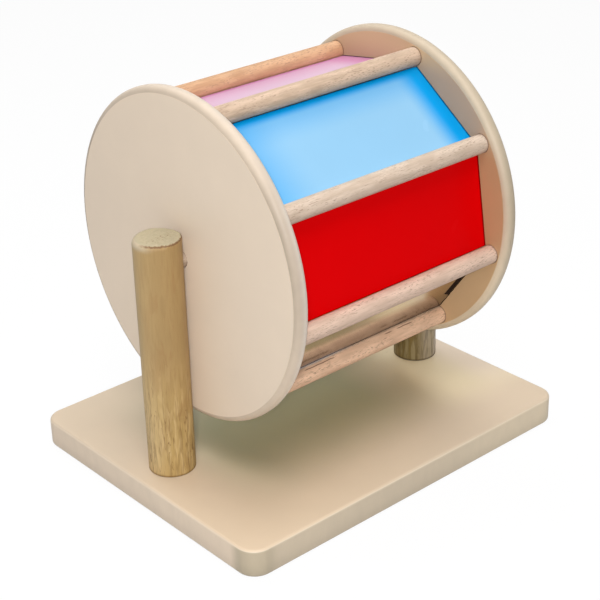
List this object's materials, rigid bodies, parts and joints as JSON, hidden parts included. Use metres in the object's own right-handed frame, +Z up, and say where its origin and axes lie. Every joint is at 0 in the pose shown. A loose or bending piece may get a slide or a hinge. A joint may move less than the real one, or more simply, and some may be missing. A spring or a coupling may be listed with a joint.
{
  "type": "drum spinner toy",
  "caption": "Wooden spinning drum toy: dowels and coloured panels with a mirror between two discs, turning on an axle between two round posts on a flat board.",
  "frame": {"origin": "middle of the board's underside", "axes": "+X along the axle and the board's length, +Y across it, +Z up"},
  "size_m": [0.257, 0.208, 0.2493],
  "materials": {
    "beige_lacquer": "smooth beige lacquer over board, satin",
    "oiled_wood": "oiled turned wood with long grain, matt",
    "beech": "bare sanded beech, matt",
    "zinc_steel": "zinc plated",
    "acrylic_mirror": "acrylic mirror, polished",
    "gloss_orange": "gloss paint on thin board",
    "gloss_pink": "gloss paint on thin board",
    "gloss_blue": "gloss paint on thin board",
    "gloss_red": "gloss paint on thin board",
    "gloss_yellow": "gloss paint on thin board",
    "gloss_green": "gloss paint on thin board",
    "gloss_purple": "gloss paint on thin board"
  },
  "bodies": {
    "stand": {"base_board": "beige_lacquer", "left_post": "oiled_wood", "right_post": "oiled_wood", "left_post_screw": "zinc_steel", "right_post_screw": "zinc_steel"},
    "drum": {"left_disc": "beige_lacquer", "right_disc": "beige_lacquer", "axle": "beech", "dowel_1": "beech", "dowel_2": "beech", "dowel_3": "beech", "dowel_4": "beech", "dowel_5": "beech", "dowel_6": "beech", "dowel_7": "beech", "dowel_8": "beech", "panel_orange": "gloss_orange", "panel_pink": "gloss_pink", "panel_blue": "gloss_blue", "panel_red": "gloss_red", "panel_yellow": "gloss_yellow", "panel_green": "gloss_green", "panel_purple": "gloss_purple", "panel_mirror": "acrylic_mirror"}
  },
  "joints": [
    {"name": "drum_spin", "type": "hinge", "parent": "stand", "child": "drum", "pos_m": [0, 0, 0.1493], "axis": [1, 0, 0], "continuous": true}
  ]
}
